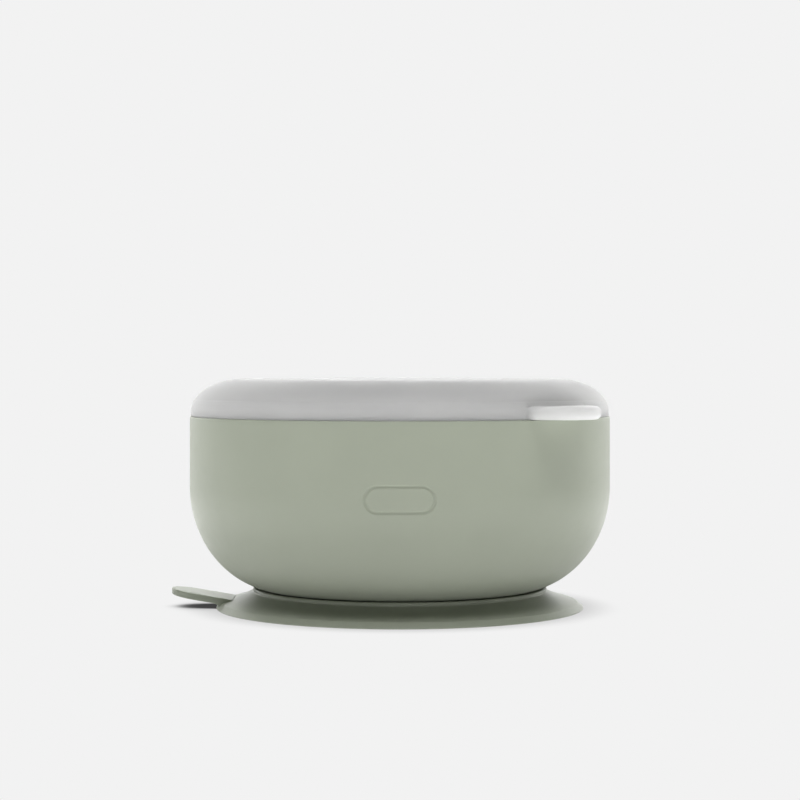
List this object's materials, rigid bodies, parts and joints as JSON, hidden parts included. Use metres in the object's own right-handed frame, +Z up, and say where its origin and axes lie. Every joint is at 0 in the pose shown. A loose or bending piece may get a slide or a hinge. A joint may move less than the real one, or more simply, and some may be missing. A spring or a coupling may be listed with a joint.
{
  "type": "suction bowl",
  "caption": "Round soft baby bowl on a shallow suction cup with a release tab, closed by a soft translucent plug-in lid with a thick pull tab.",
  "frame": {"origin": "on the table, at the bowl's axis: the centre of the suction cup's sealing land", "axes": "+Z up along the bowl's axis; -Y is the front, with the blank badge; -X is the side with the suction cup's release tab"},
  "size_m": [0.1327, 0.127, 0.0693],
  "materials": {
    "bowl_rubber": "satin sage-green silicone",
    "lid_rubber": "satin milky translucent silicone"
  },
  "bodies": {
    "suction_cup": {"suction_skirt": "bowl_rubber"},
    "cup_release_tab": {"suction_pull_tab": "bowl_rubber"},
    "bowl": {"bowl": "bowl_rubber", "suction_hub": "bowl_rubber"},
    "lid": {"lid": "lid_rubber"},
    "lid_tab": {"lid_pull_tab": "lid_rubber"}
  },
  "joints": [
    {"name": "cup_press", "type": "slide", "parent": "suction_cup", "child": "bowl", "axis": [0, 0, -1], "range_m": [0, 0.0014], "stiffness_N_per_m": 3000, "springref_m": -0.001},
    {"name": "suction_tab_flex", "type": "hinge", "parent": "suction_cup", "child": "cup_release_tab", "pos_m": [-0.0575, 0, 0.00287], "axis": [0, 1, 0], "range_deg": [-12, 55], "stiffness_Nm_per_rad": 0.003},
    {"name": "lid_lift", "type": "slide", "parent": "bowl", "child": "lid", "axis": [0, 0, 1], "range_m": [0, 0.06]},
    {"name": "lid_tab_flex", "type": "hinge", "parent": "lid", "child": "lid_tab", "pos_m": [0.04769, -0.04606, 0.05977], "axis": [-0.6947, -0.7193, 0], "range_deg": [-8, 45], "stiffness_Nm_per_rad": 0.006}
  ]
}
